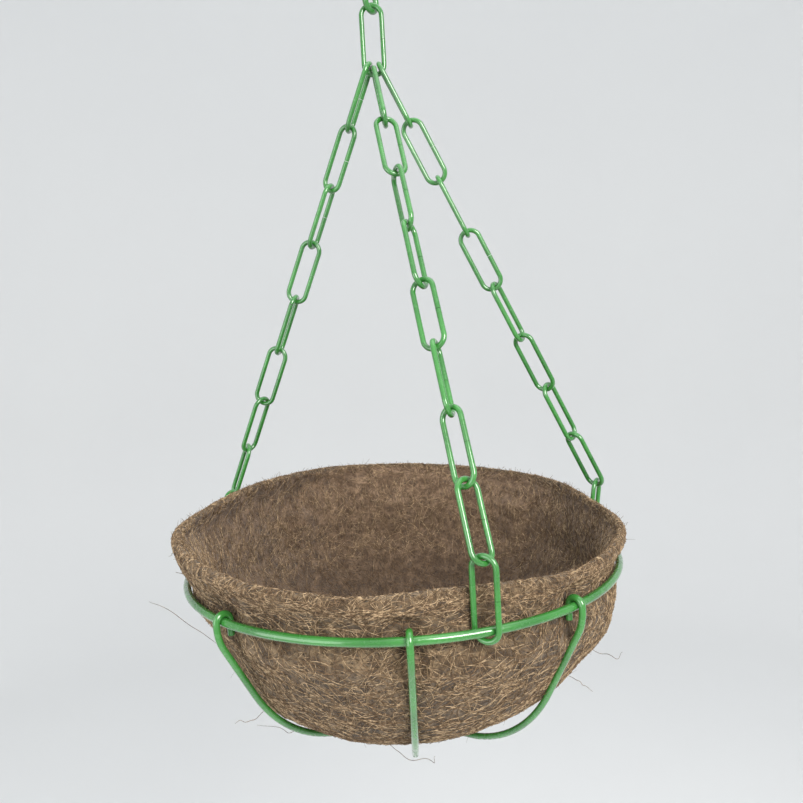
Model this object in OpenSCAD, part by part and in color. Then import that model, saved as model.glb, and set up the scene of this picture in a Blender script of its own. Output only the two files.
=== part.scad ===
// Wire hanging basket with a coir liner.
// The origin is the point where the hook rests on its support, and Z points up.
// Azimuth 0 is the front, towards -Y, and azimuths grow towards +X.

/* [Ring] */
// Outer diameter of the rim ring
ring_outer_d = 300; // [280:5:320]
// Wire of the rim ring
ring_wire_d = 5; // [4.5:0.1:5]

/* [Ribs] */
// Wire of the three ribs
rib_wire_d = 4; // [3.6:0.1:4]
// Depth of the middle rib's underside wire below the ring
rib_depth = 108.6; // [100:0.2:118]
// Lean of a rib's side, from the vertical
rib_side_lean = 28; // [24:1:32]
// Radius of the bend from a rib's side to its flat bottom
rib_bend_r = 103; // [90:1:110]
// Drop of the corner where a rib starts to lean inwards
rib_shoulder_drop = 9.4; // [9:0.1:12]
// Radius of the bend at that corner
rib_shoulder_r = 30; // [20:1:32]
// Length of the tail that each rib hook leaves inside the ring
rib_tail = 9; // [6:1:12]
// Azimuth of the front end of the left, centre and right ribs
rib_azimuths = [-43.5, 1.25, 40.5]; // each [-50:0.5:50]

/* [Chains] */
// Wire of every chain link
link_wire_d = 3.3; // [3:0.1:3.3]
// Inside length of a link
link_inner_l = 42; // [40:0.5:44]
// Outside width of a link
link_outer_w = 16.8; // [16.6:0.1:17]
// Cut where the two ends of a link's wire meet
link_seam = 0.25; // [0.2:0.05:0.5]
// Azimuth on the ring of the left, front and right chains
chain_azimuths = [-117, 17, 103]; // each [-180:1:180]
// Outward lean of the link that holds the ring
end_lean = [4, 0, 8]; // each [0:1:8]
// Turn of each left link about its chain, top link first
left_turns = [200, 82, 192, 105, 200, 104, 177, 50, 130]; // each [-180:1:360]
// Turn of each front link about its chain, top link first
front_turns = [73, 0, -85, 44, -44, 56, -60, 18, -45]; // each [-180:1:360]
// Turn of each right link about its chain, top link first
right_turns = [-18, -120, -20, -114, -43, -141, -54, -158, -45]; // each [-180:1:360]

/* [Liner] */
// Thickness of the coir felt
liner_t = 9; // [7:0.5:10]
// Height of the rim above the ring, at the middle
liner_rim_h = 33.6; // [30:0.2:36]
// Outward slope of the wall above the ring, out over up
liner_flare = 0.29; // [0.2:0.01:0.3]
// Tilt of the rim, which stands highest at the back left
liner_tilt = 4.4; // [0:0.2:5]
// Azimuth of the highest part of the rim
liner_high_side = -143; // [-180:1:180]

/* [Hook] */
// Wire of the hook
hook_wire_d = 4; // [3.6:0.2:4.4]
// Bend radius of the open top, to the middle of the wire
hook_bend_r = 14; // [13:0.5:16]
// Radius of the closed eye, to the middle of the wire
eye_bend_r = 7; // [7:0.25:8]
// Lean of the shank between the two bends
shank_lean = 30; // [28:1:34]
// Length of the straight tip
hook_tip = 10; // [6:1:12]
// Turn of the hook from the plane of the gather link
hook_turn = 60; // [60:1:90]

/* [Hidden] */
$fn = 48;

LEFT = 0;
FRONT = 1;
RIGHT = 2;
LINKS = 9;                  // links in each chain

// Running gaps between wires
link_gap = 0.15;            // between two links of a chain
hook_gap = 0.15;            // between the eye and the gather link
eye_gap = 0.3;              // between the end of the eye and the shank
end_joint_gap = 0.5;        // between the last two links of a chain
end_slack = 1.25;           // between the last link and the underside of the ring
rib_gap = 0.05;             // between a rib hook and the ring
rib_step = rib_wire_d + 0.1;  // from one rib's bottom to the next, where they cross

// A bend between two leaning straights is two arcs, one from each end, that overlap in the middle
bend_share = 0.75;          // of the bend that each arc covers
bend_overlap = 0.5;         // of the shank's lean, past the top of the hook's straight side
bottom_overlap = 1;         // of each half of a rib past the middle

// Wire radii and centre-line sizes
ring_wire_r = ring_wire_d / 2;
ring_r = ring_outer_d / 2 - ring_wire_r;
rib_r = rib_wire_d / 2;
link_r = link_wire_d / 2;
hook_r = hook_wire_d / 2;
link_l = link_inner_l + link_wire_d;
link_bend_r = (link_outer_w - link_wire_d) / 2;

// Heights of the hook and the gather link
hook_bend_z = hook_r - hook_bend_r;
eye_z = hook_bend_z - (hook_bend_r + eye_bend_r) / sin(shank_lean);
gather_top_z = eye_z - eye_bend_r + hook_r + link_r + hook_gap;
gather_z = gather_top_z - link_l;

// Where the top wire of each chain crosses the gather link, from the middle of its lower wire
seats = [[-2.9, -0.95, 7.2], [-0.46, 1.51, 3.15], [2.95, 0.5, 7.2]];

// The last link of a chain stands on the ring, and the others run straight from it to the seat
function outward(a) = [sin(a), -cos(a), 0];
function end_rise(i) = link_l - ring_wire_r - link_r - end_slack;
function end_top(i) = outward(chain_azimuths[i]) * (ring_r + end_rise(i) * sin(end_lean[i]))
    + [0, 0, end_rise(i) * cos(end_lean[i])];
function joint_lean(i) = (end_lean[i] - asin(ring_r / (LINKS - 1) / link_l)) / 2;
function foot(i) = end_top(i) - (link_wire_d + end_joint_gap)
    * (outward(chain_azimuths[i]) * sin(joint_lean(i)) + [0, 0, cos(joint_lean(i))]);
function run(i) = norm([foot(i).x - seats[i].x, foot(i).y - seats[i].y]);
longest_run = (LINKS - 2) * (link_inner_l - link_gap) + link_l;
function gather_rise(i) = foot(i).z + sqrt(longest_run ^ 2 - run(i) ^ 2) - seats[i].z;
ring_z = gather_z - min([for (i = [LEFT : RIGHT]) gather_rise(i)]);

function seat_point(i) = seats[i] + [0, 0, gather_z];
function chain_vector(i) = foot(i) + [0, 0, ring_z] - seat_point(i);
function chain_pitch(i) = (norm(chain_vector(i)) - link_l) / (LINKS - 2);
function chain_heading(i) = atan2(chain_vector(i).x, -chain_vector(i).y);
function chain_slope(i) = acos(-chain_vector(i).z / norm(chain_vector(i)));
function turns(i) = i == LEFT ? left_turns : i == FRONT ? front_turns : right_turns;

// Ribs: each has a flat bottom, two large bends, two leaning sides, two shoulders and two hooks
rib_side_r = ring_r + ring_wire_r + rib_r + rib_gap;
rib_hook_bend_r = rib_side_r - ring_r;
shoulder_l = rib_shoulder_r * tan(rib_side_lean / 2);
shoulder_drop = rib_shoulder_drop - shoulder_l;  // from the ring to the start of the shoulder
function rib_bottom(k) = rib_depth + k * rib_step;
function rib_flat(depth) = rib_side_r - (rib_bend_r - (rib_bend_r - depth + rib_shoulder_drop)
    * sin(rib_side_lean)) / cos(rib_side_lean);
function rib_side_l(depth) =
    (rib_side_r - rib_flat(depth) - rib_bend_r * cos(rib_side_lean)) / sin(rib_side_lean) - shoulder_l;

// Liner: it lies inside the top rib, passes inside the ring, then flares out to the rim
liner_gap = 0.5;            // from the ribs and the ring
liner_waist_r = ring_r - ring_wire_r - liner_gap;
liner_waist_z = 3;          // where the flare starts
liner_top_z = 60;           // of the wall before the rim is cut
liner_bend = [rib_flat(rib_bottom(-1)), rib_bend_r - rib_bottom(-1)];
liner_bend_r = rib_bend_r - rib_r - liner_gap;
liner_steps = 8;            // of the outline's round stretch
liner_lift = 6;             // that the pockets for the ribs' tails leave room for
dent_r = 16.5;                // of the dent beside each chain's last link
dent_radial = 151.5;        // from the middle to the dent's centre
tail_clear = 0.8;           // around a rib's tail

module wire_rod(l, d) {
    cylinder(h = l, d = d);
}

// Arc of wire in the XY plane, from +X
module wire_arc(bend_r, d, angle) {
    rotate_extrude(angle = angle)
        translate([bend_r, 0]) circle(d = d);
}

// Bend in the XZ plane about the origin, from +X (0) towards +Z (90)
module upright_arc(bend_r, d, from, angle) {
    rotate([90, 0, 0]) rotate([0, 0, from]) wire_arc(bend_r, d, angle);
}

// Bend in the XZ plane about the origin, from +X towards -Z
module falling_arc(bend_r, d, angle) {
    rotate([-90, 0, 0]) wire_arc(bend_r, d, angle);
}

// Link with its top wire at the origin, hanging down in the XZ plane, cut half way down +X
module hanging_link() {
    straight_l = link_l - 2 * link_bend_r;
    half_l = (straight_l - link_seam) / 2;
    translate([0, 0, -link_bend_r]) upright_arc(link_bend_r, link_wire_d, 0, 180);
    translate([0, 0, -link_bend_r - straight_l]) {
        upright_arc(link_bend_r, link_wire_d, 180, 180);
        translate([-link_bend_r, 0, 0]) wire_rod(straight_l, link_wire_d);
        translate([link_bend_r, 0, 0]) wire_rod(half_l, link_wire_d);
        translate([link_bend_r, 0, straight_l - half_l]) wire_rod(half_l, link_wire_d);
    }
}

// Link of a chain, with k = 0 at the gather link and k = LINKS - 1 at the ring
module chain_link(i, k) {
    last = k == LINKS - 1;
    down = chain_vector(i) / norm(chain_vector(i));
    top = last ? end_top(i) + [0, 0, ring_z] : seat_point(i) + down * chain_pitch(i) * k;
    heading = last ? chain_azimuths[i] : chain_heading(i);
    lean = last ? end_lean[i] : -chain_slope(i);
    color("forestgreen")
        translate(top) rotate([0, 0, heading]) rotate([lean, 0, 0]) rotate([0, 0, turns(i)[k]])
            hanging_link();
}

// S-shaped hook: an open top bend, a leaning shank and an eye that closes against the shank
module top_hook() {
    shank_l = (hook_bend_r + eye_bend_r) / tan(shank_lean);
    eye_opening = acos((eye_bend_r - hook_r - eye_gap) / (eye_bend_r + hook_r));
    color("forestgreen")
        rotate([0, 0, hook_turn]) translate([0, 0, hook_bend_z]) {
            upright_arc(hook_bend_r, hook_wire_d, 0, 180);
            translate([-hook_bend_r, 0, -hook_tip]) wire_rod(hook_tip, hook_wire_d);
            rotate([0, shank_lean, 0]) {
                upright_arc(hook_bend_r, hook_wire_d, 0, (1 + bend_overlap) * shank_lean);
                translate([hook_bend_r, 0, -shank_l]) wire_rod(shank_l, hook_wire_d);
                translate([hook_bend_r + eye_bend_r, 0, -shank_l])
                    upright_arc(eye_bend_r, hook_wire_d, 180, 360 - eye_opening);
            }
        }
}

module gather_link() {
    color("forestgreen")
        translate([0, 0, gather_top_z]) hanging_link();
}

module rim_ring() {
    color("limegreen")
        translate([0, 0, ring_z]) wire_arc(ring_r, ring_wire_d, 360);
}

// Half of a rib on the +X side, with the ring's centre at the origin
module rib_half(depth) {
    translate([ring_r - rib_hook_bend_r, 0, -rib_tail]) wire_rod(rib_tail, rib_wire_d);
    translate([ring_r, 0, 0]) upright_arc(rib_hook_bend_r, rib_wire_d, 0, 180);
    translate([rib_side_r, 0, -shoulder_drop]) wire_rod(shoulder_drop, rib_wire_d);
    translate([rib_side_r - rib_shoulder_r, 0, -shoulder_drop]) {
        falling_arc(rib_shoulder_r, rib_wire_d, bend_share * rib_side_lean);
        rotate([0, rib_side_lean, 0]) rib_side_and_bottom(depth);
    }
}

// Rest of that half, about the shoulder's centre, with its side hanging straight down
module rib_side_and_bottom(depth) {
    side_l = rib_side_l(depth);
    bend_angle = 90 - rib_side_lean;
    bottom_l = rib_flat(depth) + bottom_overlap;
    upright_arc(rib_shoulder_r, rib_wire_d, 0, bend_share * rib_side_lean);
    translate([rib_shoulder_r, 0, -side_l]) wire_rod(side_l, rib_wire_d);
    translate([rib_shoulder_r - rib_bend_r, 0, -side_l]) {
        falling_arc(rib_bend_r, rib_wire_d, bend_share * bend_angle);
        rotate([0, -rib_side_lean, 0]) {
            upright_arc(rib_bend_r, rib_wire_d, 270, bend_share * bend_angle);
            translate([-bottom_l, 0, -rib_bend_r]) rotate([0, 90, 0])
                wire_rod(bottom_l, rib_wire_d);
        }
    }
}

// Rib number k, where -1 is the left rib and passes on top, and 1 is the right rib, underneath
module rib(k) {
    color("limegreen")
        translate([0, 0, ring_z]) rotate([0, 0, rib_azimuths[k + 1] - 90]) {
            rib_half(rib_bottom(k));
            rotate([0, 0, 180]) rib_half(rib_bottom(k));
        }
}

module left_rib() {
    rib(-1);
}

module centre_rib() {
    rib(0);
}

module right_rib() {
    rib(1);
}

// Outline of the liner's wall, moved inwards by inset, from the middle of its bottom to its top
function liner_outline(inset) = concat(
    [[0, liner_bend.y - liner_bend_r + inset]],
    [for (s = [0 : liner_steps]) let (a = s / liner_steps * (90 - rib_side_lean))
        liner_bend + (liner_bend_r - inset) * [sin(a), -cos(a)]],
    [[liner_waist_r - inset, liner_waist_bottom(inset)],
     [liner_waist_r - inset, liner_waist_z],
     [liner_waist_r - inset + liner_flare * (liner_top_z - liner_waist_z), liner_top_z],
     [0, liner_top_z]]
);

// Height at which the leaning side of that outline meets the waist
function liner_waist_bottom(inset) = liner_bend.y - (liner_bend_r - inset) * sin(rib_side_lean)
    + (liner_waist_r - inset - liner_bend.x - (liner_bend_r - inset) * cos(rib_side_lean))
    / tan(rib_side_lean);

// Bowl with a dent beside each chain's last link
module dented_bowl(inset) {
    difference() {
        rotate_extrude($fn = 96) polygon(liner_outline(inset));
        for (a = chain_azimuths)
            translate(outward(a) * dent_radial + [0, 0, -liner_top_z])
                cylinder(h = 2 * liner_top_z + 1, r = dent_r + inset);
    }
}

// Half space above the tilted rim
module above_rim() {
    translate([0, 0, liner_rim_h]) rotate([0, 0, liner_high_side]) rotate([-liner_tilt, 0, 0])
        translate([-ring_outer_d, -ring_outer_d, 0])
            cube([2 * ring_outer_d, 2 * ring_outer_d, ring_outer_d]);
}

// Pockets that the tails of the rib hooks press into the felt
module tail_pockets() {
    pocket_l = rib_tail + liner_lift + rib_hook_bend_r + rib_r + 2 * tail_clear;
    for (a = rib_azimuths, side = [0, 180])
        translate(outward(a + side) * (ring_r - rib_hook_bend_r))
            translate([0, 0, rib_hook_bend_r + rib_r + tail_clear - pocket_l])
                cylinder(h = pocket_l, r = rib_r + tail_clear);
}

module coir_liner() {
    color("peru")
        translate([0, 0, ring_z]) difference() {
            dented_bowl(0);
            dented_bowl(liner_t);
            above_rim();
            tail_pockets();
        }
}

top_hook();
gather_link();
rim_ring();
left_rib();
centre_rib();
right_rib();
coir_liner();
for (k = [0 : LINKS - 1]) {
    chain_link(LEFT, k);
    chain_link(FRONT, k);
    chain_link(RIGHT, k);
}
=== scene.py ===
import math

import bpy
import numpy as np
from mathutils import Matrix, Vector, noise


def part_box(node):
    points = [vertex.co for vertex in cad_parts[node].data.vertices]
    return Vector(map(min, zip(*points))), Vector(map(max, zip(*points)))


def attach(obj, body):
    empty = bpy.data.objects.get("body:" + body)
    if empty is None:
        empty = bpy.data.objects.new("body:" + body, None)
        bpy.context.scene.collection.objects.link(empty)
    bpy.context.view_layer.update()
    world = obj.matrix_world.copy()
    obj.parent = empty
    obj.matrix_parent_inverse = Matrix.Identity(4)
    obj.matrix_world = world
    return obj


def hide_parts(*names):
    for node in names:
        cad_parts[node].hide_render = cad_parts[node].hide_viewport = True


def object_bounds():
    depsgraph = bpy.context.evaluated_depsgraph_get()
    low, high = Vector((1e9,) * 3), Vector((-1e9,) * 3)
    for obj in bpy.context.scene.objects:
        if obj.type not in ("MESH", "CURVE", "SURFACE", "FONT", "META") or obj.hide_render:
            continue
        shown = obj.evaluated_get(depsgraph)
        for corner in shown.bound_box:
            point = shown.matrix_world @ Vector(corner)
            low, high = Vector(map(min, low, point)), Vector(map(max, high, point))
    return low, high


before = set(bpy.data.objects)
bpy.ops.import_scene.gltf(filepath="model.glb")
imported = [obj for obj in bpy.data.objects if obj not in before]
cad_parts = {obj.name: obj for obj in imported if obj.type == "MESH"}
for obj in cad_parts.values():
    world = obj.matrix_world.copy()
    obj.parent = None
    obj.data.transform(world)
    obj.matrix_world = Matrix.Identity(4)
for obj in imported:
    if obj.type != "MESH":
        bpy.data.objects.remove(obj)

# Lengths are in metres in the row's frame. The liner is worked out in millimetres about the ring's
# centre, with azimuth 0 at the front (-Y) and growing towards +X, and is scaled when it becomes a mesh.

cad_low, cad_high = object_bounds()
MM = 0.001

ring_low, ring_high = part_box("rim_ring")
liner_low, liner_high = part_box("coir_liner")
RING_CENTRE = (ring_low + ring_high) / 2
RING_WIRE_R = (ring_high.z - ring_low.z) / 2 / MM
RING_R = (ring_high.x - ring_low.x) / 2 / MM - RING_WIRE_R
RIB_WIRE_R = 2.0
RIB_AZIMUTHS = (-43.5, 1.25, 40.5)
CHAIN_AZIMUTHS = {"left": -117, "front": 17, "right": 103}

# Liner profile: a rounded bottom, leaning sides, an upright waist inside the ring and a flared rim
BOTTOM_Z = (liner_low.z - RING_CENTRE.z) / MM
BEND_R = 100.5              # of the rounded bottom
SIDE_LEAN = math.radians(28)
WAIST_R = RING_R - RING_WIRE_R - 0.5
WAIST_LOW_Z = -18.3
FLARE_Z = 3.0               # where the flare starts
RIM_R = 153.7
RIM_Z = 30.2                # mean height of the rim
RIM_RISE_X = -0.0468        # of the rim's plane, per mm towards +X
RIM_RISE_Y = 0.0612         # and towards +Y
FELT_T = 8.5                # thickness of the felt
RIM_T = 6.0                 # and at its cut edge
LIFT = 6.0                  # travel of liner_lift

# Grid of the liner's skin
COLUMNS = 400
LOWER_ROWS = 96
FLARE_ROWS = 20
RIM_ROWS = 7


# ---------------------------------------------------------------- small helpers

def to_frame(points):
    """Millimetres about the ring's centre to metres in the row's frame."""
    return np.asarray(points) * MM + np.array(RING_CENTRE)


def soft_min(a, b, softness):
    """The smaller of a and b, rounded off over about that many millimetres."""
    return -softness * np.logaddexp(-a / softness, -b / softness)


def angle_between(a, b):
    """Signed angle from b to a in degrees, between -180 and 180."""
    return (a - b + 180) % 360 - 180


def mesh_object(name, points, faces, material):
    """New smooth-shaded object in the scene, with points in metres."""
    mesh = bpy.data.meshes.new(name)
    mesh.from_pydata([tuple(p) for p in points], [], faces)
    mesh.materials.append(material)
    mesh.polygons.foreach_set("use_smooth", [True] * len(mesh.polygons))
    mesh.update()
    piece = bpy.data.objects.new(name, mesh)
    bpy.context.scene.collection.objects.link(piece)
    return piece


# ---------------------------------------------------------------- materials

class Graph:
    """A short way to build a node material."""

    def __init__(self, name):
        self.material = bpy.data.materials.new(name)
        self.material.use_nodes = True
        self.nodes = self.material.node_tree.nodes
        self.links = self.material.node_tree.links
        self.shader = self.nodes["Principled BSDF"]

    def put(self, socket, value):
        if isinstance(value, bpy.types.NodeSocket):
            self.links.new(value, socket)
        elif value is not None:
            socket.default_value = value

    def math(self, operation, *values):
        node = self.nodes.new("ShaderNodeMath")
        node.operation = operation
        for socket, value in zip(node.inputs, values):
            self.put(socket, value)
        return node.outputs[0]

    def shifted(self, vector, scale, shift):
        node = self.nodes.new("ShaderNodeVectorMath")
        node.operation = "MULTIPLY_ADD"
        for socket, value in zip(node.inputs, (vector, scale, shift)):
            self.put(socket, value)
        return node.outputs[0]

    def vector(self, x, y, z):
        node = self.nodes.new("ShaderNodeCombineXYZ")
        for socket, value in zip(node.inputs, (x, y, z)):
            self.put(socket, value)
        return node.outputs[0]

    def split(self, vector):
        node = self.nodes.new("ShaderNodeSeparateXYZ")
        self.put(node.inputs[0], vector)
        return node.outputs

    def coordinates(self, output):
        return self.nodes.new("ShaderNodeTexCoord").outputs[output]

    def noise(self, vector, scale=1.0, detail=1.0, roughness=0.5, distortion=0.0):
        node = self.nodes.new("ShaderNodeTexNoise")
        self.put(node.inputs["Vector"], vector)
        node.inputs["Scale"].default_value = scale
        node.inputs["Detail"].default_value = detail
        node.inputs["Roughness"].default_value = roughness
        node.inputs["Distortion"].default_value = distortion
        return node.outputs["Fac"]

    def remap(self, value, low, high, to_low=0.0, to_high=1.0, smooth=True):
        node = self.nodes.new("ShaderNodeMapRange")
        node.interpolation_type = "SMOOTHSTEP" if smooth else "LINEAR"
        self.put(node.inputs["Value"], value)
        node.inputs["From Min"].default_value = low
        node.inputs["From Max"].default_value = high
        node.inputs["To Min"].default_value = to_low
        node.inputs["To Max"].default_value = to_high
        return node.outputs["Result"]

    def mix(self, factor, a, b):
        node = self.nodes.new("ShaderNodeMix")
        node.data_type = "RGBA"
        self.put(node.inputs["Factor"], factor)
        self.put(node.inputs[6], a)
        self.put(node.inputs[7], b)
        return node.outputs[2]

    def bump(self, height, distance, strength=1.0):
        node = self.nodes.new("ShaderNodeBump")
        node.inputs["Distance"].default_value = distance
        node.inputs["Strength"].default_value = strength
        self.put(node.inputs["Height"], height)
        self.put(self.shader.inputs["Normal"], node.outputs["Normal"])


def enamel_material():
    """Thick green enamel on wire: glossy, a little uneven, with a few dark chips."""
    g = Graph("green_enamel")
    place = g.coordinates("Object")
    shade = g.noise(place, scale=35, detail=2)
    run = g.noise(place, scale=260, detail=2)
    base = g.mix(g.remap(shade, 0.3, 0.7), (0.025, 0.150, 0.024, 1), (0.042, 0.215, 0.038, 1))
    speck = g.noise(place, scale=520, detail=1)
    patch = g.noise(place, scale=48, detail=1)
    chip = g.math("MULTIPLY", g.remap(speck, 0.70, 0.74), g.remap(patch, 0.60, 0.66))
    colour = g.mix(chip, base, (0.018, 0.030, 0.014, 1))
    g.put(g.shader.inputs["Base Color"], colour)
    g.put(g.shader.inputs["Roughness"], g.remap(run, 0.3, 0.7, 0.18, 0.30))
    g.put(g.shader.inputs["Coat Weight"], 1.0)
    g.put(g.shader.inputs["Coat Roughness"], 0.10)
    g.put(g.shader.inputs["Specular IOR Level"], 0.5)
    lumps = g.noise(place, scale=170, detail=3)
    height = g.math("SUBTRACT", lumps, g.math("MULTIPLY", chip, 0.6))
    g.bump(height, 0.0005, 0.5)
    return g.material


def strand_line(g, place, width, distortion):
    """Thin curly lines, 1 on a strand and 0 between, along the stretched direction of place."""
    field = g.noise(place, scale=1, detail=1, distortion=distortion)
    off = g.math("ABSOLUTE", g.math("SUBTRACT", field, 0.5))
    return g.remap(off, 0.0, width, 1.0, 0.0)


def felt_material(name, gap_colour, body_colour, strand_colour, spacing, width, relief, shade):
    """Coir felt: layers of thin strands at many angles over darker matted fibre.
    spacing is the distance between the strands of one layer, in metres, and shade is how far painted
    shade darkens the felt towards the bottom of the bowl."""
    g = Graph(name)
    around, along, _ = g.split(g.coordinates("UV"))
    place = g.coordinates("Object")
    px, py, pz = g.split(place)
    wall_r = 0.14
    across = wall_r / spacing
    lines = []
    # On the wall each layer is a family of helices, at this angle from the upright
    for step, lean in enumerate((-72, -48, -22, 12, 35, 60, 78)):
        turn = math.tan(math.radians(lean)) / wall_r
        angle = g.math("MULTIPLY", around, math.tau)
        turned = g.math("ADD", angle, g.math("MULTIPLY", along, turn))
        helix_r = across * math.cos(math.radians(lean))
        path = g.vector(
            g.math("MULTIPLY", g.math("COSINE", turned), helix_r),
            g.math("MULTIPLY", g.math("SINE", turned), helix_r),
            g.math("MULTIPLY_ADD", along, 70 + 9 * step, 11.3 * step))
        lines.append((path, step))
    wall = layered(g, lines, width)
    flat = []
    for step, lean in enumerate((5, 40, 75, 110, 150)):
        c, s = math.cos(math.radians(lean)), math.sin(math.radians(lean))
        u = g.math("ADD", g.math("MULTIPLY", px, c), g.math("MULTIPLY", py, s))
        v = g.math("SUBTRACT", g.math("MULTIPLY", py, c), g.math("MULTIPLY", px, s))
        path = g.vector(g.math("MULTIPLY", u, 1 / spacing), g.math("MULTIPLY", v, 60), 7.7 * step)
        flat.append((path, step))
    floor = layered(g, flat, width)
    radius = g.math("SQRT", g.math("ADD", g.math("MULTIPLY", px, px), g.math("MULTIPLY", py, py)))
    strands = g.mix(g.remap(radius, 0.070, 0.085), floor, wall)
    matted = g.noise(place, scale=620, detail=3, roughness=0.65)
    broad = g.noise(place, scale=22, detail=3)
    body = g.mix(g.remap(matted, 0.35, 0.65), gap_colour, body_colour)
    tone = g.noise(place, scale=150, detail=2)
    strand = g.mix(g.remap(tone, 0.35, 0.65), body_colour, strand_colour)
    colour = g.mix(g.math("MULTIPLY", strands, 0.85), body, strand)
    shaded = g.mix(g.remap(broad, 0.3, 0.7, 0.0, 0.15), colour, gap_colour)
    # Painted shade: the felt is darkened towards the bottom of the bowl, where shadow falls, by shade
    painted_bowl_shade = g.remap(pz, RING_CENTRE.z + BOTTOM_Z * MM, RING_CENTRE.z + RIM_Z * MM, shade, 0.0)
    g.put(g.shader.inputs["Base Color"], g.mix(painted_bowl_shade, shaded, gap_colour))
    g.put(g.shader.inputs["Roughness"], 0.92)
    g.put(g.shader.inputs["Specular IOR Level"], 0.2)
    g.put(g.shader.inputs["Sheen Weight"], 0.15)
    height = g.math("ADD", strands, g.math("MULTIPLY", matted, 0.9))
    g.bump(height, relief, 0.9)
    return g.material


def layered(g, lines, width):
    """The topmost of several layers of strands, each broken up so that its strands start and stop."""
    top = None
    for path, step in lines:
        line = strand_line(g, path, width, 0.35 + 0.08 * step)
        patches = g.shifted(path, (0.45, 0.45, 0.9), (5.0, 3.0 * step, 1.0))
        broken = g.remap(g.noise(patches, scale=1, detail=0), 0.42, 0.55)
        level = g.math("MULTIPLY", g.math("MULTIPLY", line, broken), 0.6 + 0.4 * ((step * 3) % 5) / 4)
        top = level if top is None else g.math("MAXIMUM", top, level)
    return top


def strand_material(name, dark, light):
    """Single coir strands, each piece of it a slightly different brown."""
    g = Graph(name)
    place = g.coordinates("Object")
    tone = g.noise(place, scale=480, detail=2)
    fine = g.noise(place, scale=900, detail=1)
    colour = g.mix(g.remap(tone, 0.36, 0.64), dark, light)
    g.put(g.shader.inputs["Base Color"], g.mix(g.remap(fine, 0.4, 0.7, 0, 0.3), colour, dark))
    g.put(g.shader.inputs["Roughness"], 0.75)
    g.put(g.shader.inputs["Specular IOR Level"], 0.3)
    g.bump(fine, 0.0002, 0.5)
    return g.material


# ---------------------------------------------------------------- the liner's shape

# Where the soft felt sags or swells: azimuth, height, half width in degrees and in mm, and how far out
SWELLS = (
    (-64, -22, 24, 11, -6.5),
    (-62, -42, 32, 22, -4.5),
    (74, -36, 24, 13, 5.0),
    (58, -80, 20, 14, -1.2),
    (28, -100, 30, 16, -3.0),
    (38, -100, 18, 14, -2.0),
    (-28, -98, 26, 16, -2.0),
    (-150, -50, 30, 25, 3.0),
    (160, -60, 26, 24, 2.5),
    (112, -70, 24, 20, -2.0),
)


def lower_profile():
    """Radius and height of the outside from the middle of the bottom to the flare, evenly spaced."""
    bend_z = BOTTOM_Z + BEND_R
    bend_end_z = bend_z - BEND_R * math.sin(SIDE_LEAN)
    side_l = (WAIST_LOW_Z - bend_end_z) / math.cos(SIDE_LEAN)
    flat_r = WAIST_R - side_l * math.sin(SIDE_LEAN) - BEND_R * math.cos(SIDE_LEAN)
    bend = [(flat_r + BEND_R * math.sin(a), bend_z - BEND_R * math.cos(a))
            for a in np.linspace(0, math.pi / 2 - SIDE_LEAN, 40)]
    corners = np.array([(0.0, BOTTOM_Z)] + bend + [(WAIST_R, WAIST_LOW_Z), (WAIST_R, FLARE_Z)])
    run = np.concatenate([[0], np.cumsum(np.linalg.norm(np.diff(corners, axis=0), axis=1))])
    even = np.linspace(0, run[-1], LOWER_ROWS)
    return np.interp(even, run, corners[:, 0]), np.interp(even, run, corners[:, 1])


def rim_shape(azimuth):
    """Radius and height of the rim's outer edge."""
    a = np.radians(azimuth)
    radius = RIM_R - 1.5 * np.sin(a)
    height = RIM_Z + RIM_RISE_X * radius * np.sin(a) - RIM_RISE_Y * radius * np.cos(a)
    for chain in ("left", "right"):
        chain_azimuth = CHAIN_AZIMUTHS[chain]
        height += 3.5 * np.exp(-(angle_between(azimuth, chain_azimuth) / 34) ** 2)
    return radius, height


def inner_line(node_name, top):
    """Innermost point of a node in each slice of its height below top, as azimuth, radius and
    height in mm."""
    slice_h = 3
    far = 999.0
    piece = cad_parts[node_name]
    corners = [(piece.matrix_world @ v.co - RING_CENTRE) / MM for v in piece.data.vertices]
    slices = {}
    for edge in piece.data.edges:
        start, end = corners[edge.vertices[0]], corners[edge.vertices[1]]
        cuts = 1 + int(abs(end.z - start.z) / slice_h)
        for cut in range(cuts):
            p = start.lerp(end, cut / cuts)
            step = round(p.z / slice_h)
            radius = math.hypot(p.x, p.y)
            if p.z < top and radius < slices.get(step, (0, far))[1]:
                slices[step] = (math.degrees(math.atan2(p.x, -p.y)), radius, p.z)
    return list(slices.values())


def wires_outside():
    """Points of the wires that press on the outside of the felt: azimuth, radius, height, and the
    radii that the felt bends round them sideways and up and down."""
    points = []
    highest = RIM_Z + LIFT + 20
    for chain, spread in (("left", 3.5), ("front", 1.5), ("right", 3.5)):
        for link in (8, 9):
            for azimuth, radius, height in inner_line(f"{chain}_chain_link_{link}", highest):
                points.append((azimuth, radius, height, 60 + spread * max(0, height), 16.0))
    tail_r = RING_R - RING_WIRE_R - 2 * RIB_WIRE_R
    for azimuth in RIB_AZIMUTHS:
        for side in (0, 180):
            for height in (-11, -5, 1, 7):
                points.append((azimuth + side, tail_r, height, 12.0, 3.0))
    return points


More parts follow.
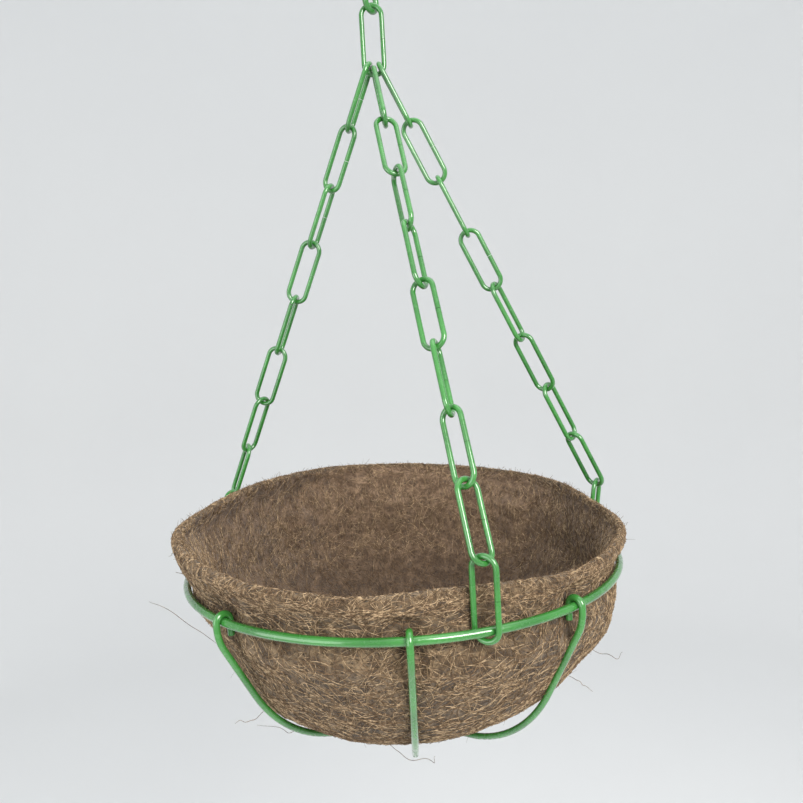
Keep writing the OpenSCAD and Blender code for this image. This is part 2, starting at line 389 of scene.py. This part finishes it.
def press(radius, height, azimuth, inset, wires):
    """Pushes the felt in behind the ring, the end links and the tails of the ribs' hooks, with room
    for the liner to lift. The inside (inset over 0) keeps most of the felt's thickness."""
    ring_bend = 16.0        # radius that the felt takes over the ring
    room = 1.3              # between the felt and the wires, for loose strands
    far = 999.0

    def beyond(at):
        return np.maximum(0, np.maximum(at - LIFT - height, height - at))

    ring_limit = RING_R - RING_WIRE_R - 0.6 - inset * 0.8 + beyond(0) ** 2 / (2 * ring_bend)
    pressed = soft_min(radius, ring_limit, 0.8)
    nearest = np.full_like(radius, far)
    for wire_azimuth, wire_r, at, bend, upright_bend in wires:
        sideways = np.radians(angle_between(azimuth, wire_azimuth)) * wire_r
        limit = wire_r - room - inset * 0.65 + sideways ** 2 / (2 * (bend + inset))
        nearest = np.minimum(nearest, limit + beyond(at) ** 2 / (2 * upright_bend))
    return soft_min(pressed, nearest, 2.5)


def felt_relief(x, y, z, inside):
    """Unevenness of the felt at a point, in mm: broad lumps, matted clumps and fine tufts."""
    shift = 400 if inside else 0
    if inside:
        amounts = ((42, 1.3), (13, 0.45), (4.5, 0.15))
    else:
        amounts = ((42, 1.1), (13, 0.55), (4.5, 0.28))
    total = 0.0
    for size, amount in amounts:
        total += amount * noise.noise(Vector((x / size + shift, y / size, z / size)))
    return total


def liner_wall(inset, wires):
    """Grid of points of the outside (inset 0) or the inside, rows from the bottom's middle to the
    rim and columns round the azimuth."""
    azimuth = np.linspace(-180, 180, COLUMNS, endpoint=False)
    low_r, low_z = lower_profile()
    rim_r, rim_z = rim_shape(azimuth)
    share = np.linspace(0, 1, FLARE_ROWS + 1)[1:, None]
    flare_r = WAIST_R + (rim_r - WAIST_R) * share
    flare_z = FLARE_Z + (rim_z - RIM_T / 2 - FLARE_Z) * share
    r = np.vstack([np.repeat(low_r[:, None], COLUMNS, 1), flare_r])
    z = np.vstack([np.repeat(low_z[:, None], COLUMNS, 1), flare_z])
    dr, dz = np.gradient(r, axis=0), np.gradient(z, axis=0)
    length = np.hypot(dr, dz)
    out_r, out_z = dz / length, -dr / length
    swell = np.zeros_like(r)
    for at, height, wide, tall, amount in SWELLS:
        swell += amount * np.exp(-(angle_between(azimuth, at) / wide) ** 2 - ((z - height) / tall) ** 2)
    rows = len(r)
    thin = np.clip((np.arange(rows) - (rows - 12)) / 12, 0, 1)[:, None]
    depth = (FELT_T + (RIM_T - FELT_T) * thin) if inset else 0
    r = r + out_r * (swell - depth)
    z = z + out_z * (swell - depth)
    rounding = 10 if inset else 3
    for _ in range(rounding):
        r[1:-1] = (r[:-2] + 2 * r[1:-1] + r[2:]) / 4
        z[1:-1] = (z[:-2] + 2 * z[1:-1] + z[2:]) / 4
    near_waist = z > -45
    r = np.where(near_waist, press(r, z, azimuth[None, :], inset, wires), r)
    r = np.maximum(r, 0)
    a = np.radians(azimuth)[None, :]
    for row in range(rows):
        for column in range(COLUMNS):
            t = a[0, column]
            x, y = r[row, column] * math.sin(t), -r[row, column] * math.cos(t)
            lump = felt_relief(x, y, z[row, column], inset > 0)
            fade = min(1.0, r[row, column] / 12)
            r[row, column] += out_r[row, column] * lump * fade
            z[row, column] += out_z[row, column] * lump
    return np.stack([r * np.sin(a), -r * np.cos(a), z], axis=2)


def rim_rows(outer_edge, inner_edge):
    """Rounded, ragged top of the felt between the outside's last row and the inside's."""
    rows = []
    middle = (outer_edge + inner_edge) / 2
    half = (outer_edge - inner_edge) / 2
    for step in range(1, RIM_ROWS + 1):
        t = math.pi * step / (RIM_ROWS + 1)
        row = middle + half * math.cos(t)
        row[:, 2] += RIM_T / 2 * math.sin(t)
        for column, point in enumerate(row):
            tuft = noise.noise(Vector((point[0] / 3.2, point[1] / 3.2, 9.0)))
            wave = noise.noise(Vector((point[0] / 14, point[1] / 14, 4.0)))
            row[column, 2] += math.sin(t) * (0.5 * tuft + 0.6 * wave)
        rows.append(row)
    return np.array(rows)


def grid_faces(rows, columns):
    """Quads of a grid whose columns close round."""
    faces = []
    for row in range(rows - 1):
        for column in range(columns):
            after = (column + 1) % columns
            faces.append((row * columns + column, row * columns + after,
                          (row + 1) * columns + after, (row + 1) * columns + column))
    return faces


def build_liner(outer, rim, inner, outer_felt, inner_felt):
    """One closed skin: the outside upwards, over the rim, and the inside down again."""
    rows = np.concatenate([outer[1:], rim, inner[:0:-1]])
    count = len(rows)
    bottom, floor = outer[0].mean(axis=0), inner[0].mean(axis=0)
    points = np.concatenate([rows.reshape(-1, 3), [bottom], [floor]])
    faces = grid_faces(count, COLUMNS)
    last = (count - 1) * COLUMNS
    bottom_index, floor_index = count * COLUMNS, count * COLUMNS + 1
    for column in range(COLUMNS):
        after = (column + 1) % COLUMNS
        faces.append((bottom_index, after, column))
        faces.append((floor_index, last + column, last + after))
    liner = mesh_object("coir_liner_felt", to_frame(points), faces, outer_felt)
    mesh = liner.data
    mesh.materials.append(inner_felt)
    outside_quads = (len(outer) - 1 + RIM_ROWS) * COLUMNS
    wall_quads = (count - 1) * COLUMNS
    run = np.concatenate([[0], np.cumsum(np.linalg.norm(np.diff(rows[:, 0], axis=0), axis=1))]) * MM
    uv = mesh.uv_layers.new(name="strand_map")
    for face in mesh.polygons:
        is_wall = face.index < wall_quads
        if is_wall:
            inside = face.index >= outside_quads
        else:
            inside = face.vertices[0] == floor_index
        face.material_index = int(inside)
        columns = [v % COLUMNS for v in face.vertices]
        wraps = max(columns) - min(columns) > COLUMNS // 2
        for loop, vertex, column in zip(face.loop_indices, face.vertices, columns):
            row = vertex // COLUMNS
            if wraps and column < COLUMNS // 2:
                column += COLUMNS
            uv.data[loop].uv = (column / COLUMNS, run[min(row, count - 1)])
    return liner


# ---------------------------------------------------------------- loose strands

class Skin:
    """Smooth look-up of points and normals on a liner wall, by column and row."""

    def __init__(self, grid, outwards):
        self.grid = grid
        self.rows = len(grid)
        d_row = np.gradient(grid, axis=0)
        d_column = np.roll(grid, -1, axis=1) - np.roll(grid, 1, axis=1)
        normal = np.cross(d_column, d_row)
        length = np.linalg.norm(normal, axis=2, keepdims=True)
        self.normal = normal / np.maximum(length, 1e-9) * (1 if outwards else -1)
        self.row_step = np.linalg.norm(d_row, axis=2).mean(axis=1)
        self.radius = np.maximum(np.linalg.norm(grid[:, :, :2], axis=2).mean(axis=1), 1.0)

    def look_up(self, field, row, column):
        row = np.clip(row, 0, self.rows - 1.001)
        r0 = row.astype(int)
        c0 = np.floor(column).astype(int)
        fr, fc = (row - r0)[..., None], (column - c0)[..., None]
        c0, c1 = c0 % COLUMNS, (c0 + 1) % COLUMNS
        low = field[r0, c0] * (1 - fc) + field[r0, c1] * fc
        high = field[r0 + 1, c0] * (1 - fc) + field[r0 + 1, c1] * fc
        return low * (1 - fr) + high * fr


def strand_mesh(name, paths, normals, thickness, material):
    """Three-sided tubes along paths (strands, points, 3), thinner towards their ends."""
    count, steps, _ = paths.shape
    along = np.gradient(paths, axis=1)
    along /= np.maximum(np.linalg.norm(along, axis=2, keepdims=True), 1e-9)
    across = np.cross(along, normals)
    across /= np.maximum(np.linalg.norm(across, axis=2, keepdims=True), 1e-9)
    up = np.cross(across, along)
    ends = np.sin(np.linspace(0.25, math.pi - 0.25, steps)) ** 0.5
    size = thickness[:, None, None] * ends[None, :, None]
    corners = [paths + size * (up * math.cos(t) + across * math.sin(t))
               for t in (0, math.tau / 3, -math.tau / 3)]
    points = np.stack(corners, axis=2).reshape(-1, 3)
    first = (np.arange(count) * steps * 3)[:, None]
    faces = []
    for step in range(steps - 1):
        for side in range(3):
            a, b = step * 3 + side, step * 3 + (side + 1) % 3
            faces.append(np.hstack([first + a, first + b, first + b + 3, first + a + 3]))
    quads = np.concatenate(faces).tolist()
    start = np.hstack([first, first + 2, first + 1]).tolist()
    end_at = first + (steps - 1) * 3
    stop = np.hstack([end_at, end_at + 1, end_at + 2]).tolist()
    return mesh_object(name, to_frame(points), quads + start + stop, material)


def laid_strands(skin, rng, count, rows, length, steps, lift, loose, lean_spread, lean=0.0):
    """Strands that lie on a wall. lift is their height over it, loose how far their ends stand off,
    and lean their usual angle from level."""
    weight = skin.radius * skin.row_step
    weight = np.where((np.arange(skin.rows) >= rows[0]) & (np.arange(skin.rows) <= rows[1]), weight, 0)
    row = rng.choice(skin.rows, count, p=weight / weight.sum()) + rng.random(count)
    column = rng.random(count) * COLUMNS
    heading = rng.normal(lean, lean_spread, count) + rng.choice([0, math.pi], count)
    bend = rng.normal(0, 0.05, count)
    reach = length * (0.5 + rng.random(count))
    step_l = reach / (steps - 1)
    wave = rng.random((count, 2)) * math.tau
    paths, normals = [], []
    for step in range(steps):
        share = step / (steps - 1)
        ends = abs(2 * share - 1) ** 3
        sway = np.sin(wave[:, 0] + step * 1.7)
        height = lift * (0.6 + 0.4 * sway) + loose * ends * (0.3 + rng.random(count) ** 2)
        normal = skin.look_up(skin.normal, row, column)
        paths.append(skin.look_up(skin.grid, row, column) + normal * height[:, None])
        normals.append(normal)
        heading = heading + bend * step_l + 0.12 * np.sin(wave[:, 1] + step * 1.3)
        nearest = np.clip(row.astype(int), 0, skin.rows - 1)
        column = column + step_l * np.cos(heading) / (skin.radius[nearest] * math.tau / COLUMNS)
        row = row + step_l * np.sin(heading) / skin.row_step[nearest]
    on_wall = (row > 1) & (row < rows[1])
    return np.stack(paths, axis=1)[on_wall], np.stack(normals, axis=1)[on_wall]


# Long strands that hang off the felt: azimuth and height of the root, length, and how far each
# heads outwards, sideways and upwards, then how much it sags towards its free end
LONG_STRAYS = (
    (-62, -38, 60, (0.75, -0.30, 0.75), 2),
    (-20, -98, 92, (0.20, -1.00, 0.02), 2),
    (-22, -98, 60, (0.30, 1.00, -0.55), -26),
    (66, -52, 30, (0.75, 0.30, -0.60), -12),
    (60, -66, 16, (0.80, 0.20, -0.30), 4),
    (-84, 20, 17, (0.90, 0.10, -1.00), -10),
    (-78, 4, 12, (0.90, -0.20, 0.10), 2),
    (-52, -70, 26, (0.65, -0.30, -0.45), -3),
    (150, -40, 40, (0.80, 0.40, 0.10), 6),
    (-160, -85, 45, (0.70, -0.50, -0.30), -5),
)


def long_stray(rng, skin, azimuth, height, length, heading, sag):
    """One long strand that curls away from the wall."""
    steps = 26
    column = int(round((azimuth + 180) / 360 * COLUMNS)) % COLUMNS
    row = int(np.argmin(abs(skin.grid[10:, column, 2] - height))) + 10
    root = skin.grid[row, column]
    t = math.radians(azimuth)
    outward = np.array([math.sin(t), -math.cos(t), 0])
    sideways = np.array([math.cos(t), math.sin(t), 0])
    along = heading[0] * outward + heading[1] * sideways + heading[2] * np.array([0, 0, 1.0])
    along /= np.linalg.norm(along)
    share = np.linspace(0, 1, steps)
    path = root + along * (length * share)[:, None]
    path[:, 2] -= sag * share ** 2
    for axis in range(3):
        curl = rng.normal(0, 1, 3)
        for turns, amount in zip((0.8, 1.7, 3.3), curl):
            path[:, axis] += 0.06 * length / turns * amount * np.sin(turns * math.tau * share) * share
    normal = np.repeat(outward[None, :] * 0.6 + np.array([0, 0, 0.8]), steps, axis=0)
    return path[None], normal[None]


def rim_tufts(rng, count, outer, inner):
    """Short strands that stand up out of the cut edge."""
    column = rng.random(count) * COLUMNS
    c0 = column.astype(int) % COLUMNS
    across = rng.random(count)[:, None]
    root = outer[-1][c0] * (1 - across) + inner[-1][c0] * across
    root[:, 2] += RIM_T / 2 - 1
    outward = root * np.array([1, 1, 0])
    outward /= np.linalg.norm(outward, axis=1, keepdims=True)
    sideways = np.stack([-outward[:, 1], outward[:, 0], np.zeros(count)], axis=1)
    push = rng.normal(0, 0.7, count)[:, None] * outward + rng.normal(0, 1.2, count)[:, None] * sideways
    push += np.array([0, 0, 1.0])
    push /= np.linalg.norm(push, axis=1, keepdims=True)
    length = (1.2 + 3.2 * rng.random(count) ** 3)[:, None]
    curl = rng.normal(0, 0.35, (count, 3)) * length
    steps = 5
    paths = np.stack([root + push * length * t + curl * t * t for t in np.linspace(0, 1, steps)], axis=1)
    normals = np.repeat((outward + 0.3 * sideways)[:, None, :], steps, axis=1)
    return paths, normals


def ride_liner(piece):
    """Makes a piece part of the liner."""
    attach(piece, "liner")
    return piece


def add_strands(name, strands, thin, thick, material):
    """One piece with all strands of a kind, each with a radius between thin and thick."""
    paths, normals = strands
    thickness = thin + (thick - thin) * rng.random(len(paths))
    ride_liner(strand_mesh(name, paths, normals, thickness, material))


# ---------------------------------------------------------------- the object

enamel = enamel_material()
# The last number of each felt is how much painted shade darkens it towards the bottom of the bowl
outer_felt = felt_material("coir_outside", (0.020, 0.012, 0.006, 1), (0.105, 0.066, 0.035, 1),
                           (0.330, 0.230, 0.132, 1), 0.0014, 0.12, 0.0009, 0.15)
inner_felt = felt_material("coir_inside", (0.030, 0.019, 0.012, 1), (0.150, 0.094, 0.057, 1),
                           (0.330, 0.220, 0.140, 1), 0.0012, 0.12, 0.0006, 0.62)
strand_light = strand_material("coir_light_strands", (0.240, 0.160, 0.088, 1), (0.560, 0.410, 0.250, 1))
strand_brown = strand_material("coir_brown_strands", (0.085, 0.052, 0.028, 1), (0.250, 0.160, 0.090, 1))

for node_name, node_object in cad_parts.items():
    if node_name != "coir_liner":
        node_object.data.materials.clear()
        node_object.data.materials.append(enamel)

pressing_wires = wires_outside()
outside = liner_wall(0.0, pressing_wires)
inside = liner_wall(FELT_T, pressing_wires)
rim = rim_rows(outside[-1], inside[-1])
liner = ride_liner(build_liner(outside, rim, inside, outer_felt, inner_felt))
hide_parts("coir_liner")

# The outside's strands also cross the rim and the first rows of the inside
rng = np.random.default_rng(7)
outside_skin = Skin(np.concatenate([outside, rim, inside[:-7:-1]]), True)
inside_skin = Skin(inside, False)
everywhere = (4, outside_skin.rows - 2)
near_rim = (len(outside) - 8, outside_skin.rows - 2)
below_rim = (12, len(outside))
for name, count, rows, length, material in (
        ("light", 4200, everywhere, 18, strand_light),
        ("brown", 5600, everywhere, 18, strand_brown),
        ("short", 3600, everywhere, 10, strand_light),
        ("rim_light", 1500, near_rim, 8, strand_light),
        ("rim_brown", 1800, near_rim, 8, strand_brown)):
    laid = laid_strands(outside_skin, rng, count, rows, length, 6, 0.35, 0.7, 1.05)
    add_strands(f"coir_outer_{name}_strands", laid, 0.15, 0.25, material)
upright = math.pi / 2
for name, count, lowest, material in (
        ("light", 3800, 74, strand_light),
        ("brown", 5600, 50, strand_brown)):
    rows = (lowest, inside_skin.rows - 2)
    laid = laid_strands(inside_skin, rng, count, rows, 13, 6, 0.2, 0.3, 0.8, upright)
    add_strands(f"coir_inner_{name}_strands", laid, 0.10, 0.18, material)
stray = laid_strands(outside_skin, rng, 90, below_rim, 24, 10, 0.6, 5.0, 0.8)
add_strands("coir_stray_strands", stray, 0.08, 0.12, strand_brown)
for number, shape in enumerate(LONG_STRAYS, start=1):
    paths, normals = long_stray(rng, outside_skin, *shape)
    thickness = np.full(len(paths), 0.20)
    ride_liner(strand_mesh(f"coir_long_strand_{number}", paths, normals, thickness, strand_brown))
add_strands("coir_rim_tufts", rim_tufts(rng, 2400, outside, inside), 0.08, 0.15, strand_brown)


# ---------------------------------------------------------------- stage, light and camera

def stage_bowl():
    """Pale floor that curves up into a wall all round, well clear of the object."""
    g = Graph("pale_stage")
    shade = g.noise(g.coordinates("Object"), scale=1.2, detail=1)
    colour = g.mix(shade, (0.800, 0.800, 0.800, 1), (0.840, 0.840, 0.835, 1))
    g.put(g.shader.inputs["Base Color"], colour)
    g.put(g.shader.inputs["Roughness"], 0.9)
    floor_z = cad_low.z - 0.85
    floor_r, bend_r, wall_h, sides = 2.2, 0.8, 2.4, 96
    profile = [(0.001, 0), (floor_r, 0)]
    profile += [(floor_r + bend_r * math.sin(t), bend_r - bend_r * math.cos(t))
                for t in np.linspace(0.1, math.pi / 2, 14)]
    profile.append((floor_r + bend_r, bend_r + wall_h))
    points = [(r * math.cos(math.tau * i / sides), r * math.sin(math.tau * i / sides), floor_z + h)
              for r, h in profile for i in range(sides)]
    floor = mesh_object("stage_floor", points, grid_faces(len(profile), sides), g.material)


def soft_light(name, offset, size, power, colour):
    """Square area light, offset metres from the ring's centre and aimed at it."""
    data = bpy.data.lights.new(name, "AREA")
    data.size = size
    data.energy = power
    data.color = colour
    light = bpy.data.objects.new(name, data)
    light.location = RING_CENTRE + Vector(offset)
    light.rotation_euler = (-Vector(offset)).to_track_quat("-Z", "Y").to_euler()
    bpy.context.scene.collection.objects.link(light)


def pale_world(colour, strength):
    """Even light from all round, with colours shown as they are."""
    world = bpy.data.worlds.new("world")
    world.use_nodes = True
    background = world.node_tree.nodes["Background"]
    background.inputs["Color"].default_value = colour
    background.inputs["Strength"].default_value = strength
    bpy.context.scene.world = world
    bpy.context.scene.view_settings.view_transform = "Standard"


def add_camera():
    """Close in front and a little above the rim, tipped down and slightly rolled."""
    data = bpy.data.cameras.new("camera")
    data.sensor_width = 36
    data.lens = 32.06
    camera = bpy.data.objects.new("camera", data)
    aside, height, distance = 0.0077, 0.15062, 0.49862
    pitch, yaw, roll = math.radians(-4.67), math.radians(0.272), math.radians(3.30)
    camera.location = RING_CENTRE + Vector((aside, -distance, height))
    aim = Matrix.Rotation(yaw, 4, "Z") @ Matrix.Rotation(math.pi / 2 + pitch, 4, "X")
    camera.rotation_euler = (aim @ Matrix.Rotation(-roll, 4, "Z")).to_euler()
    bpy.context.scene.collection.objects.link(camera)
    bpy.context.scene.camera = camera


stage_bowl()
soft_light("key", (0.50, -1.00, 0.60), 0.6, 19, (1.0, 0.98, 0.95))
soft_light("fill", (-0.95, -0.85, 0.15), 1.0, 9, (0.96, 0.98, 1.0))
soft_light("top", (0.20, -0.10, 1.15), 0.9, 3, (1.0, 1.0, 1.0))
pale_world((0.93, 0.97, 1.0, 1), 0.93)
add_camera()
